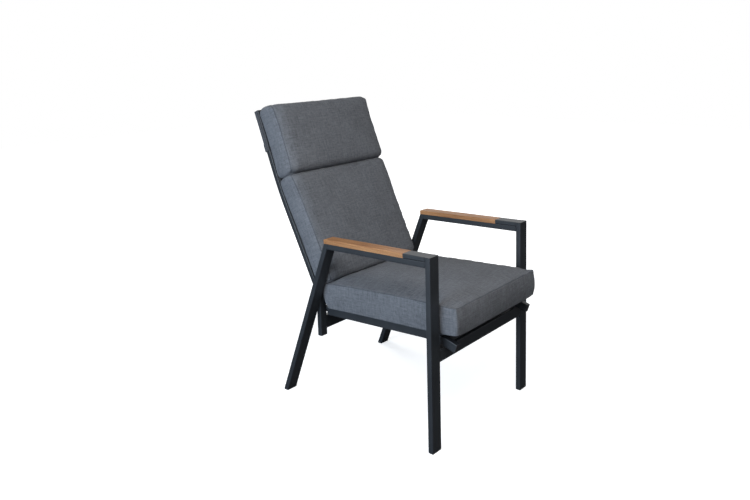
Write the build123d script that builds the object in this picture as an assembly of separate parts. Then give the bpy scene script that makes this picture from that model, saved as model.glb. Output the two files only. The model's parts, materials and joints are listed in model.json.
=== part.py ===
# Reclining garden armchair. Two welded side frames of flat aluminium tube stand on nylon feet and
# carry teak arm pads. The back frame turns on an axle between the rear legs. The seat frame is
# hinged to the back below that axle and slides on two nylon glides on the front beam, so the seat
# moves forward as the back goes down. A lockable gas spring under the seat holds the back, and a
# bar with a handle under the sitter's left side releases it. Loose cushions lie on both slings.
#
# X runs across the chair (+X is the sitter's left), Y rearward and Z up, in millimetres. The origin
# is on the floor under the middle of the chair. Places along Y are first measured from the front
# faces of the front legs, as y, and FRONT_Y moves them to the chair's own origin.

import copy
import os
from math import atan, cos, degrees, radians, sin, sqrt, tan

from build123d import *

# Overall
WIDTH = 580.0                   # over the side frames
FRONT_Y = -411.0                # front faces of the front legs
OVERRUN = 20.0                  # how far a cutting body runs past what it cuts
SLIP = 0.3                      # gap between pieces that only lie together
RUN = 0.05                      # radial play of a pin in its bush

# Side frames
LEG_ACROSS, LEG_DEEP = 45.0, 20.0       # flat tube of the legs and arm rails
TUBE_WALL = 1.8
TUBE_ROUND = 2.5                # outer corner radius of every tube
ARM_TOP = 650.0                 # top of the arm at the front
ARM_FALL = 1.95                 # degrees, falling to the rear
PAD_THICK = 15.0                # teak pad, and the raised front part of the arm
PAD_START = 110.0
PAD_ROUND = 2.0
REAR_FOOT_Y = 706.1             # front face of the rear leg at the floor
REAR_LEAN = 22.5                # degrees from upright
FOOT_THICK = 3.0                # nylon below the tube's end
FOOT_PLUG = 14.0                # nylon inside the tube
BEAM_HIGH, BEAM_BOTTOM = 40.0, 297.0
SCREW_R, SCREW_HEAD_R, SCREW_HEAD = 2.5, 4.6, 2.8
SCREW_BITE = 9.0                # wood screw in the teak
SCREW_SHARES = (0.14, 0.86)     # where the screws stand along a pad

# Back frame
BACK_ACROSS, BACK_DEEP = 30.0, 20.0     # tube of the side rails
BACK_GAP = 2.0                  # between a leg and the back rail
STUB_BOTTOM = 243.0
STUB_TOP = 401.6                # bend between the upright stub and the back
BACK_LOWER, BACK_UPPER = 407.0, 318.0   # lengths of the two straight runs
LEAN_LOWER, LEAN_UPPER = 27.6, 21.3     # degrees from upright
BEND_STUB, BEND_BACK = 60.0, 1500.0     # centre-line radii
CROSS_HIGH = 30.0
CROSS_BOTTOM = 264.0            # lower cross tube
LOWER_CROSS_HIGH = 50.0
LUMBAR_RUN = 95.0               # lumbar rail above the stub's bend
LUMBAR_DEEP = 13.0
CAP_THICK, CAP_PLUG = 2.0, 12.0

# Main pivot
PIVOT_Z = 371.0
AXLE_R = 6.0
AXLE_BOLT_R, AXLE_BOLT_HEAD_R, AXLE_BOLT_GRIP = 4.0, 7.6, 18.0
AXLE_BOLT_CONE = 3.6
BUSH_WALL = 1.5
BUSH_FLANGE_R = 9.0

# Seat frame
RAIL_ACROSS, RAIL_HIGH = 20.0, 30.0
RAIL_LAP = 13.0                 # outer face, past the inner face of the back rail
RAIL_SLOPE = 3.48               # degrees, rising to the front
RAIL_DROP = 35.0                # the seat hinge below the main pivot
RAIL_BEND_R, RAIL_BEND = 340.0, 22.5
RAIL_BEND_START = 90.0
RAIL_TIP = 4.0                  # straight end beyond the bend
RAIL_BACK_GAP = 27.0            # from the hinge to the middle of the rail's cut end
RAIL_BACK_CUT = 20.0            # degrees, the cut that lets the stub swing by
LINK_THICK, LINK_HIGH, LINK_LENGTH = 6.0, 24.0, 58.0
HINGE_R, HINGE_HEAD_R, HINGE_HEAD = 5.0, 8.5, 5.0
INSERT_R, INSERT_FLANGE_R, INSERT_FLANGE, INSERT_LENGTH = 6.0, 8.0, 1.0, 15.0
HINGE_THREAD_R = 4.0
CROSS_SQUARE = 20.0             # seat cross tubes
SEAT_FRONT_TUBE = 10.0
FRONT_TUBE_UNDER = 2.0          # its top below the tops of the rails
SEAT_REAR_TUBE_LEAD = 71.3      # rear cross tube ahead of the hinge
GLIDE_ACROSS, GLIDE_LIP, GLIDE_LIP_RISE, GLIDE_R = 26.0, 2.7, 5.0, 30.0
GLIDE_PEG_R, GLIDE_PEG = 4.0, 8.0

# Slings
SLING = 1.5
SLING_EDGE = 6.0                # from the rail's outer face
SEAT_SLING_START = 2.0
SEAT_SLING_LEAD = 48.3          # its rear end, ahead of the hinge
BACK_SLING_START = 30.0         # above the stub's bend

# Gas spring: from the fixed fork on the seat to the cross tube of the back
FORK_Y, FORK_DROP = 268.0, 37.0         # fork pivot, below the rail's centre line
EYE_LEAD, EYE_RISE = 23.0, 15.0         # the eye's pin ahead of the stub's middle, and its height
EAR_HIGH = 30.0                 # root of its bracket on the cross tube
ROD_R, ROD_LENGTH = 5.0, 165.0
BARREL_R, BARREL_WALL = 11.0, 1.6
BARREL_START = 108.0            # from the fork pivot
EYE_SHANK = 27.1                # from the barrel's end to the eye's pin
GLAND = 12.0
BARREL_END = 6.0
PISTON = 14.0
EYE_R, EYE_ACROSS, EYE_PLAY = 10.0, 16.0, 1.9
EYE_PIN_R, EYE_HEAD_R, EYE_HEAD = 4.0, 7.0, 4.5
EYE_NECK = 12.0
FORK_PLATE, FORK_GAP = 4.0, 1.0
HEAD_ACROSS, HEAD_HIGH = 22.0, 22.0
HEAD_FRONT, HEAD_REAR = 13.0, 24.0
HEAD_SLOT = 9.0
TRUNNION_R, TRUNNION_HEAD_R, TRUNNION_HEAD = 3.0, 5.5, 3.0
ROD_TIP = 10.0                  # rod's end from the fork pivot
RELEASE_R, RELEASE_PROUD, RELEASE_DEEP = 1.6, 5.0, 14.0

# Release bar
LEVER_R = 4.0
LEVER_DROP = 26.0               # bar below the release pin
LEVER_CLEAR = 10.0              # handle beyond the seat rail
LEVER_REACH = 100.0             # handle's length forward
LEVER_BEND = 14.0
LEVER_START = 24.0              # the bar's blind end, past the fork
FINGER_ACROSS, FINGER_DEEP = 6.0, 8.0
GRIP_R, GRIP_LENGTH = 8.0, 72.0
BEARING_THICK, BEARING_DEEP = 5.0, 22.0
COLLAR_R, COLLAR = 7.0, 6.0

# Cushions. Heights of the seat cushion are above the tops of the seat rails, and those of the back
# cushion ahead of the front faces of the back rails.
CUSHION_CLEAR = 5.0             # between a cushion's side and the legs
CUSHION_LIFT = 0.4              # above the sling
DRAW_IN = 5.0                   # how far a side pulls in between its corners
SEAT_FRONT_LOW, SEAT_FRONT_TOP = -58.0, -60.0
SEAT_REAR_LEAD = 26.3           # rear end ahead of the hinge
SEAT_REAR_TUCK = 18.0           # its lower edge, ahead of that
SEAT_LIFT_START, SEAT_LIFT = 120.0, 4.0        # the front end rises off the bent rails
SEAT_HIGH_FRONT, SEAT_HIGH_MIDDLE, SEAT_HIGH_REAR = 94.5, 100.0, 96.0
SEAT_CROWN = 13.0
SEAT_FRONT_ROUND = 3.0
SEAT_REAR_BELLY = 56.0          # height of the rear end's furthest point
REAR_FULLNESS = 0.45            # of the corner under it, 0 for a straight end
HEAD_START, HEAD_END = 46.0, 322.0      # along the upper back, from the bend
HEAD_BORDER, HEAD_CROWN = 79.0, 27.0
LOWER_START = 22.0              # lower chamber, above the stub's bend
LOWER_END = 39.0                # its upper end, above the back's bend
WEB_HIGH, WEB_GRIP = 52.0, 6.0  # sewn channel that joins the chambers
LOWER_BORDER_TOP, LOWER_BORDER = 77.0, 84.0
LOWER_CROWN_TOP, LOWER_CROWN = 21.0, 7.0
CHAMBER_ROUND = 24.0            # front edges of the chambers' ends, at their channel
LOWER_ROUND = 12.0              # at the seat
HEAD_TOP_ROUND = 38.0
CROWN_POWER, EDGE_POWER = 4, 12         # fall of a crown, and of a rounded end
SECTION_TURNS = (-90, -72, -54, -28, 0, 28, 54, 72, 90)     # over the width, -90 and 90 the sides
OUTLINE_TURNS = (-90, -80, -70, -60, -48, -32, -16, 0, 16, 32, 48, 60, 70, 80, 90)
HOOD_CLOTH, HOOD_SLACK = 1.6, 0.4
HOOD_LENGTH = 162.0             # pocket over the top of the back frame
HOOD_LAP = 4.0                  # the pocket's side walls on the cushion's sides
HEM_HIGH, HEM_PROUD = 28.0, 1.4

# Worked out from the sizes above
half = WIDTH / 2
leg_inner = half - LEG_ACROSS
back_outer = leg_inner - BACK_GAP
back_inner = back_outer - BACK_ACROSS
back_middle = back_outer - BACK_ACROSS / 2
rail_face = back_inner + RAIL_LAP
rail_inner = rail_face - RAIL_ACROSS
rail_middle = rail_face - RAIL_ACROSS / 2
lever_x = rail_face + LEVER_CLEAR
cushion_width = 2 * (leg_inner - CUSHION_CLEAR)
lean_tan = tan(radians(REAR_LEAN))
rear_leg_level = LEG_DEEP / cos(radians(REAR_LEAN))     # thickness of the leaning leg along y
pivot_y = REAR_FOOT_Y + rear_leg_level / 2 - lean_tan * PIVOT_Z     # middle of the leg there
fall_tan = tan(radians(ARM_FALL))
pad_under = ARM_TOP - PAD_THICK / cos(radians(ARM_FALL))            # its underside at y = 0
pad_end = (REAR_FOOT_Y + rear_leg_level - lean_tan * pad_under) / (1 - lean_tan * fall_tan)
seat_rear = pivot_y - SEAT_REAR_LEAD
hinge_z = PIVOT_Z - RAIL_DROP
slope = radians(RAIL_SLOPE)
sides = {"right": -1, "left": 1}        # the sitter's sides


def place(y, z, x=0.0):
    """A point of the chair, y from the front face of the front legs."""
    return Vector(x, FRONT_Y + y, z)


def lean(angle):
    """Unit vector in the side plane, leaning rearward by so many degrees from upright."""
    return Vector(0, sin(radians(angle)), cos(radians(angle)))


def tube_plane(start, direction):
    """Section plane of a tube: X across the chair, the tube's depth along the other axis."""
    return Plane(origin=start, x_dir=Vector(1, 0, 0), z_dir=direction)


def tube_section(plane, across, deep):
    """Cut section of a rectangular tube with round corners."""
    outside = plane * RectangleRounded(across, deep, TUBE_ROUND)
    inside_round = max(TUBE_ROUND - TUBE_WALL, TUBE_WALL / 4)
    inside = plane * RectangleRounded(across - 2 * TUBE_WALL, deep - 2 * TUBE_WALL, inside_round)
    return outside - inside


def straight_tube(start, end, across, deep):
    """Tube in the side plane from one point to another."""
    run = end - start
    return extrude(tube_section(tube_plane(start, run.normalized()), across, deep), run.length,
                   dir=run.normalized())


def cross_tube(middle, across, high, deep, tilt=0.0):
    """Tube along X between two inner faces, high and deep in the side plane."""
    plane = Plane(origin=middle, x_dir=Vector(0, cos(radians(tilt)), -sin(radians(tilt))),
                  z_dir=Vector(1, 0, 0))
    return extrude(tube_section(plane, deep, high), across / 2, both=True)


def pin(middle, x_from, x_to, radius):
    """Round bar along X, from one place across the chair to another."""
    low, high = min(x_from, x_to), max(x_from, x_to)
    plane = Plane(origin=(low, middle.Y, middle.Z), x_dir=Vector(0, 1, 0), z_dir=Vector(1, 0, 0))
    return extrude(plane * Circle(radius), high - low)


def rod(start, direction, length, radius):
    """Round bar in the side plane."""
    return extrude(Plane(origin=start, x_dir=Vector(1, 0, 0), z_dir=direction) * Circle(radius),
                   length)


def side_solid(points, x_from, x_to):
    """Plate or block with an outline in the side plane, between two places across the chair."""
    outline = Polyline(*points, close=True)
    low, high = min(x_from, x_to), max(x_from, x_to)
    return Pos(low, 0, 0) * extrude(make_face(outline), high - low, dir=(1, 0, 0))


def keep_below(shape, point, normal):
    """The part of a shape on the side that the normal points away from."""
    return split(shape, bisect_by=Plane(origin=point, z_dir=normal), keep=Keep.BOTTOM)


def offset_points(points, distance):
    """The corners of a bent centre line, moved sideways in the side plane.

    A positive distance is towards the sitter's side: up from the seat and forward from the back.
    """
    moved = []
    for number, point in enumerate(points):
        normals = []
        for a, b in ((number - 1, number), (number, number + 1)):
            if a >= 0 and b < len(points):
                run = (points[b] - points[a]).normalized()
                normals.append(Vector(0, -run.Z, run.Y))
        total = normals[0] + normals[-1]
        moved.append(point + total * (2 * distance / total.dot(total)))
    return moved


def bent_strip(points, radii, near, far, x_from, x_to):
    """Sheet or bar that follows a bent centre line, between two distances from it."""
    lines = []
    for distance in (near, far):
        turned = [radius + sign * distance for radius, sign in radii]
        lines.append(FilletPolyline(*offset_points(points, distance), radius=turned))
    ends = [Line(lines[0] @ share, lines[1] @ share) for share in (0, 1)]
    face = make_face(Wire([*lines[0].edges(), *lines[1].edges(), *ends[0].edges(), *ends[1].edges()]))
    return Pos(x_from, 0, 0) * extrude(face, x_to - x_from, dir=(1, 0, 0))


def both_sides(make):
    """The piece of each side from its left form."""
    left = make()
    return {"left": left, "right": mirror(left, about=Plane.YZ)}


def pair(left):
    """A left piece and its mirror image, as separate solids of one node."""
    return Compound(children=[*left.solids(), *mirror(left, about=Plane.YZ).solids()])


# Centre lines
arm_run = Vector(0, cos(radians(ARM_FALL)), -sin(radians(ARM_FALL)))
arm_up = Vector(0, sin(radians(ARM_FALL)), cos(radians(ARM_FALL)))
arm_front = place(0, ARM_TOP)
leg_run = Vector(0, -sin(radians(REAR_LEAN)), cos(radians(REAR_LEAN)))
rear_foot = place(REAR_FOOT_Y + rear_leg_level / 2, 0)
axle_point = place(pivot_y, PIVOT_Z)
hinge_point = place(pivot_y, hinge_z)

stub_end = place(pivot_y, STUB_BOTTOM)
stub_bend = place(pivot_y, STUB_TOP)
back_bend = stub_bend + lean(LEAN_LOWER) * BACK_LOWER
back_end = back_bend + lean(LEAN_UPPER) * BACK_UPPER
back_points = [stub_end, stub_bend, back_bend, back_end]
back_radii = [(BEND_STUB, 1), (BEND_BACK, -1)]
upper_out = Vector(0, -lean(LEAN_UPPER).Z, lean(LEAN_UPPER).Y)

rail_run = Vector(0, -cos(slope), sin(slope))           # forward along the seat rail
rail_up = Vector(0, sin(slope), cos(slope))
bend_tangent = RAIL_BEND_R * tan(radians(RAIL_BEND / 2))
bend_corner_y = RAIL_BEND_START - bend_tangent * cos(slope)
rail_tip_run = Vector(0, -cos(slope - radians(RAIL_BEND)), sin(slope - radians(RAIL_BEND)))


def on_rail(y, above=0.0):
    """A point on the straight centre line of the seat rail at a given y, and so far above it."""
    return hinge_point + rail_run * ((pivot_y - y) / cos(slope)) + rail_up * above


rail_corner = on_rail(bend_corner_y)
rail_tip = rail_corner + rail_tip_run * (bend_tangent + RAIL_TIP)
rail_start = hinge_point + rail_run * RAIL_BACK_GAP
rail_points = [rail_start - rail_run * OVERRUN, rail_corner, rail_tip]
bend_centre = on_rail(RAIL_BEND_START) - rail_up * RAIL_BEND_R

fork = on_rail(FORK_Y, -FORK_DROP)
eye = place(pivot_y - EYE_LEAD, CROSS_BOTTOM + EYE_RISE)
spring_run = (eye - fork).normalized()
spring_length = (eye - fork).length
spring_up = Vector(0, -spring_run.Z, spring_run.Y)
barrel_length = spring_length - BARREL_START - EYE_SHANK
lever_point = fork + spring_run * (ROD_TIP - RELEASE_PROUD) - Vector(0, 0, LEVER_DROP)

parts = {}


def side_frame():
    """Legs, arm rail, raised arm front and pad of the left side."""
    middle = half - LEG_ACROSS / 2
    shift = Pos(middle, 0, 0)
    rail_top = arm_front - arm_up * PAD_THICK
    rail_bottom = rail_top - arm_up * LEG_DEEP
    leg_middle = place(LEG_DEEP / 2, FOOT_THICK)
    front = straight_tube(leg_middle, leg_middle + Vector(0, 0, ARM_TOP), LEG_ACROSS, LEG_DEEP)
    front = keep_below(front, arm_front, arm_up)
    lid_plane = tube_plane(leg_middle, Vector(0, 0, 1))
    lid = extrude(lid_plane * RectangleRounded(LEG_ACROSS, LEG_DEEP, TUBE_ROUND), ARM_TOP)
    lid = keep_below(lid, arm_front, arm_up)
    front += lid - keep_below(lid, arm_front - arm_up * TUBE_WALL, arm_up)

    rear = straight_tube(rear_foot - leg_run * OVERRUN, rear_foot + leg_run * ARM_TOP * 2,
                         LEG_ACROSS, LEG_DEEP)
    rear = keep_below(rear, rail_top, arm_up)
    rear = keep_below(rear, place(0, FOOT_THICK), Vector(0, 0, -1))
    rear -= pin(axle_point, -half, half, AXLE_BOLT_R + SLIP)
    cone = Plane(origin=(LEG_ACROSS / 2, axle_point.Y, axle_point.Z), z_dir=Vector(-1, 0, 0))
    rear -= loft([cone * Circle(AXLE_BOLT_HEAD_R + SLIP),
                  cone.offset(AXLE_BOLT_CONE) * Circle(AXLE_BOLT_R + SLIP)])

    rail_middle_line = rail_top - arm_up * LEG_DEEP / 2
    leg_face = place(LEG_DEEP, 0)
    rear_face = rear_foot - Vector(0, rear_leg_level / 2, 0)
    rear_out = Vector(0, cos(radians(REAR_LEAN)), sin(radians(REAR_LEAN)))
    rail = straight_tube(rail_middle_line - arm_run * OVERRUN, rail_middle_line + arm_run * ARM_TOP,
                         LEG_ACROSS, LEG_DEEP)
    rail = keep_below(rail, leg_face, Vector(0, -1, 0))
    rail = keep_below(rail, rear_face, rear_out)

    raised = straight_tube(arm_front - arm_up * PAD_THICK / 2, arm_front - arm_up * PAD_THICK / 2
                           + arm_run * PAD_START, LEG_ACROSS, PAD_THICK)
    raised = keep_below(raised, leg_face, Vector(0, -1, 0))

    pad_length = (pad_end - PAD_START) / arm_run.Y
    pad_plane = Plane(origin=rail_top + arm_run * (PAD_START + pad_length / 2),
                      x_dir=Vector(1, 0, 0), z_dir=arm_up)
    board = Box(LEG_ACROSS, pad_length, PAD_THICK,
                align=(Align.CENTER, Align.CENTER, Align.MIN))
    pad = pad_plane * fillet(board.edges().group_by(Axis.Z)[-1], PAD_ROUND)
    screws = []
    for share in SCREW_SHARES:
        foot = rail_bottom + arm_run * (PAD_START + pad_length * share)
        shank = rod(foot, arm_up, LEG_DEEP + SCREW_BITE, SCREW_R)
        head = rod(foot - arm_up * SCREW_HEAD, arm_up, SCREW_HEAD, SCREW_HEAD_R)
        rail -= rod(foot - arm_up * OVERRUN, arm_up, LEG_DEEP + OVERRUN, SCREW_R + SLIP)
        pad -= rod(foot, arm_up, LEG_DEEP + SCREW_BITE, SCREW_R)
        screws.append(shift * (shank + head))
    pieces = [shift * piece for piece in (front, rear, rail, raised, pad)]
    return pieces + [Compound(children=screws)]


def add_side_frames():
    names = ["front_leg", "rear_leg", "arm_rail", "arm_raised_front", "arm_pad"]
    pieces = side_frame()
    for name, piece in zip(names, pieces):
        parts[name + "_left"] = piece
        parts[name + "_right"] = mirror(piece, about=Plane.YZ)
    parts["arm_pad_screws"] = pair(pieces[-1])


def foot(axis, run, deep):
    """Nylon foot under a tube: a sole the size of the tube's end, and a plug inside it."""
    middle = axis + run * (FOOT_THICK / run.Z) - Vector(0, 0, FOOT_THICK)
    sole_plane = Plane(origin=middle, x_dir=Vector(1, 0, 0), z_dir=Vector(0, 0, 1))
    sole = extrude(sole_plane * RectangleRounded(LEG_ACROSS, deep, TUBE_ROUND), FOOT_THICK)
    plug_clear = 2 * (TUBE_WALL + SLIP)
    plug_start = axis - run * OVERRUN
    plug_face = tube_plane(plug_start, run) * Rectangle(LEG_ACROSS - plug_clear,
                                                        LEG_DEEP - plug_clear)
    plug = extrude(plug_face, OVERRUN + FOOT_PLUG)
    plug = keep_below(plug, axis + Vector(0, 0, FOOT_THICK / 2), Vector(0, 0, -1))
    return sole + plug


def add_base():
    shift = Pos(half - LEG_ACROSS / 2, 0, 0)
    parts["front_feet"] = pair(shift * foot(place(LEG_DEEP / 2, 0), Vector(0, 0, 1), LEG_DEEP))
    parts["rear_feet"] = pair(shift * foot(rear_foot, leg_run, rear_leg_level))

    beam_middle = place(LEG_DEEP / 2, BEAM_BOTTOM + BEAM_HIGH / 2)
    beam = cross_tube(beam_middle, 2 * leg_inner, BEAM_HIGH, LEG_DEEP)
    parts["front_beam"] = beam - glide_pegs(SLIP)
    parts["seat_glides"] = glides()

    parts["axle"] = (pin(axle_point, -leg_inner, leg_inner, AXLE_R)
                     - pin(axle_point, leg_inner - AXLE_BOLT_GRIP, leg_inner, AXLE_BOLT_R)
                     - pin(axle_point, AXLE_BOLT_GRIP - leg_inner, -leg_inner, AXLE_BOLT_R))
    bolt = pin(axle_point, leg_inner - AXLE_BOLT_GRIP, half, AXLE_BOLT_R)
    cone = Plane(origin=(half, axle_point.Y, axle_point.Z), z_dir=Vector(-1, 0, 0))
    bolt += loft([cone * Circle(AXLE_BOLT_HEAD_R), cone.offset(AXLE_BOLT_CONE) * Circle(AXLE_BOLT_R)])
    parts["axle_bolts"] = pair(bolt)


def glide_pegs(extra=0.0):
    """The pegs that hold the glides in the top wall of the front beam."""
    top = place(LEG_DEEP / 2, BEAM_BOTTOM + BEAM_HIGH, rail_middle)
    peg = Plane(origin=top, z_dir=Vector(0, 0, -1)) * Circle(GLIDE_PEG_R + extra)
    peg = extrude(peg, GLIDE_PEG)
    return peg + mirror(peg, about=Plane.YZ)


def glides():
    """Domed nylon saddles under the seat rails, with a low lip on each side of the rail."""
    beam_top = BEAM_BOTTOM + BEAM_HIGH
    under = RAIL_BEND_R - RAIL_HIGH / 2 - SLIP - GLIDE_R
    y = FRONT_Y + LEG_DEEP / 2
    dome_z = bend_centre.Z + sqrt(under ** 2 - (bend_centre.Y - y) ** 2)
    body = Pos(rail_middle, y, beam_top) * Box(
        GLIDE_ACROSS, LEG_DEEP, 2 * GLIDE_R, align=(Align.CENTER, Align.CENTER, Align.MIN))
    dome = pin(Vector(0, y, dome_z), rail_middle - GLIDE_ACROSS / 2, rail_middle + GLIDE_ACROSS / 2,
               GLIDE_R)
    saddle = body & dome
    lip_high = dome_z + GLIDE_R + GLIDE_LIP_RISE - beam_top
    for side in (-1, 1):
        x = rail_middle + side * (GLIDE_ACROSS - GLIDE_LIP) / 2
        saddle += Pos(x, y, beam_top) * Box(GLIDE_LIP, LEG_DEEP, lip_high,
                                           align=(Align.CENTER, Align.CENTER, Align.MIN))
    return pair(saddle + glide_pegs().solids().sort_by(Axis.X)[-1])


def end_plug(end, run, across, deep):
    """Plastic cap on a tube's end: a rim as large as the tube, and a plug inside it."""
    plane = tube_plane(end, run)
    clear = 2 * (TUBE_WALL + SLIP)
    rim = extrude(plane * RectangleRounded(across, deep, TUBE_ROUND), CAP_THICK)
    plug = extrude(plane * Rectangle(across - clear, deep - clear), -CAP_PLUG)
    return rim + plug


def back_rail():
    """Side rail of the back with its upright stub, the left one."""
    path = FilletPolyline(*back_points, radius=[radius for radius, _ in back_radii])
    section = tube_section(tube_plane(stub_end, Vector(0, 0, 1)), BACK_ACROSS, BACK_DEEP)
    rail = Pos(back_middle, 0, 0) * sweep(section, path=path)
    rail -= pin(axle_point, 0, half, AXLE_R + RUN + BUSH_WALL)
    rail -= pin(hinge_point, 0, back_inner + TUBE_WALL + SLIP, INSERT_R)
    return rail


def bush():
    """Flanged half bush that sits in a side wall of the left back rail."""
    bore = AXLE_R + RUN
    flange = BACK_GAP - SLIP
    sleeve = pin(axle_point, back_middle, back_outer + flange, bore + BUSH_WALL)
    sleeve += pin(axle_point, back_outer, back_outer + flange, BUSH_FLANGE_R)
    return sleeve - pin(axle_point, 0, half, bore)


def add_back_frame():
    for side, rail in both_sides(back_rail).items():
        parts["back_rail_" + side] = rail
    parts["lower_cross_tube"] = cross_tube(place(pivot_y, CROSS_BOTTOM + LOWER_CROSS_HIGH / 2),
                                           2 * back_inner, LOWER_CROSS_HIGH, BACK_DEEP)
    lower_out = Vector(0, -lean(LEAN_LOWER).Z, lean(LEAN_LOWER).Y)
    lumbar = stub_bend + lean(LEAN_LOWER) * LUMBAR_RUN - lower_out * (BACK_DEEP - LUMBAR_DEEP) / 2
    parts["lumbar_cross_tube"] = cross_tube(lumbar, 2 * back_inner, CROSS_HIGH, LUMBAR_DEEP,
                                            LEAN_LOWER)
    top = back_end - lean(LEAN_UPPER) * CROSS_HIGH / 2
    parts["top_cross_tube"] = cross_tube(top, 2 * back_inner, CROSS_HIGH, BACK_DEEP, LEAN_UPPER)
    shift = Pos(back_middle, 0, 0)
    parts["back_top_caps"] = pair(shift * end_plug(back_end, lean(LEAN_UPPER), BACK_ACROSS,
                                                   BACK_DEEP))
    parts["stub_caps"] = pair(shift * end_plug(stub_end, Vector(0, 0, -1), BACK_ACROSS, BACK_DEEP))
    outer_bush = bush()
    inner_bush = mirror(outer_bush, about=Plane.YZ.offset(back_middle))
    bushes = [*outer_bush.solids(), *inner_bush.solids()]
    parts["pivot_bushes"] = Compound(children=bushes + [mirror(one, about=Plane.YZ) for one in bushes])
    front = BACK_DEEP / 2
    sling_points = [stub_bend + lean(LEAN_LOWER) * BACK_SLING_START, back_bend,
                    back_end - lean(LEAN_UPPER) * CROSS_HIGH / 2]
    reach = back_outer - SLING_EDGE
    parts["back_sling"] = bent_strip(sling_points, [(BEND_BACK, -1)], front, front + SLING,
                                     -reach, reach)


def add_seat_hinge():
    """Shoulder bolt, threaded insert and washer that hang the seat on each stub."""
    head_x = rail_inner - LINK_THICK - SLIP
    insert = (pin(hinge_point, back_inner, back_inner + INSERT_LENGTH, INSERT_R)
              + pin(hinge_point, back_inner - INSERT_FLANGE, back_inner, INSERT_FLANGE_R)
              - pin(hinge_point, 0, half, HINGE_THREAD_R))
    parts["hinge_inserts"] = pair(insert)
    bolt = (pin(hinge_point, head_x - HINGE_HEAD, head_x, HINGE_HEAD_R)
            + pin(hinge_point, head_x, back_inner - INSERT_FLANGE, HINGE_R)
            + pin(hinge_point, back_inner - INSERT_FLANGE, back_inner + INSERT_LENGTH,
                  HINGE_THREAD_R))
    parts["hinge_bolts"] = pair(bolt)
    washer = (pin(hinge_point, rail_inner + SLIP, back_inner - INSERT_FLANGE - SLIP, HINGE_HEAD_R)
              - pin(hinge_point, 0, half, HINGE_R + RUN))
    parts["hinge_washers"] = pair(washer)


def seat_rail():
    """Side rail of the seat, the left one, cut back so that the stub can swing past its end."""
    path = FilletPolyline(*rail_points, radius=RAIL_BEND_R)
    section = tube_section(tube_plane(rail_points[0], rail_run), RAIL_ACROSS, RAIL_HIGH)
    rail = Pos(rail_middle, 0, 0) * sweep(section, path=path)
    cut = slope + radians(RAIL_BACK_CUT)
    return keep_below(rail, rail_start, Vector(0, cos(cut), -sin(cut)))


def link_plate():
    """Plate on the inner face of the left seat rail that reaches the hinge beside the stub."""
    plane = Plane(origin=(rail_inner - LINK_THICK, hinge_point.Y, hinge_point.Z),
                  x_dir=rail_run, z_dir=Vector(1, 0, 0))
    outline = plane * (Circle(LINK_HIGH / 2)
                       + Pos(LINK_LENGTH / 2, 0) * Rectangle(LINK_LENGTH, LINK_HIGH))
    return extrude(outline, LINK_THICK) - pin(hinge_point, 0, half, HINGE_R + RUN)


def add_seat_frame():
    for side, rail in both_sides(seat_rail).items():
        parts["seat_rail_" + side] = rail
    for side, plate in both_sides(link_plate).items():
        parts["hinge_plate_" + side] = plate
    tip_cap = end_plug(rail_tip, rail_tip_run, RAIL_ACROSS, RAIL_HIGH)
    parts["seat_rail_caps"] = pair(Pos(rail_middle, 0, 0) * tip_cap)
    low = (CROSS_SQUARE - RAIL_HIGH) / 2
    for name, y, above in (("front", SEAT_FRONT_TUBE, -low - FRONT_TUBE_UNDER),
                           ("middle", FORK_Y, low),
                           ("rear", pivot_y - SEAT_REAR_TUBE_LEAD, low)):
        parts["seat_%s_tube" % name] = cross_tube(seat_line(y, above), 2 * rail_inner,
                                                  CROSS_SQUARE, CROSS_SQUARE, seat_tilt(y))
    high = RAIL_HIGH / 2
    reach = rail_face - SLING_EDGE
    sling_line = [rail_tip, rail_corner, on_rail(pivot_y - SEAT_SLING_LEAD)]
    sling = bent_strip(sling_line, [(RAIL_BEND_R, 1)], high, high + SLING, -reach, reach)
    parts["seat_sling"] = keep_below(sling, place(SEAT_SLING_START, 0), Vector(0, -1, 0))


def seat_line(y, above):
    """A point at y on the rail's centre line, in its bend too, and so far above it."""
    into = RAIL_BEND_START - y
    if into <= 0:
        return on_rail(y, above)
    angle = slope - into / RAIL_BEND_R
    normal = Vector(0, sin(angle), cos(angle))
    return bend_centre + normal * (RAIL_BEND_R + above)


def seat_tilt(y):
    """Slope of the rail at y, in degrees."""
    into = max(RAIL_BEND_START - y, 0.0)
    return RAIL_SLOPE - degrees(into / RAIL_BEND_R)


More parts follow.
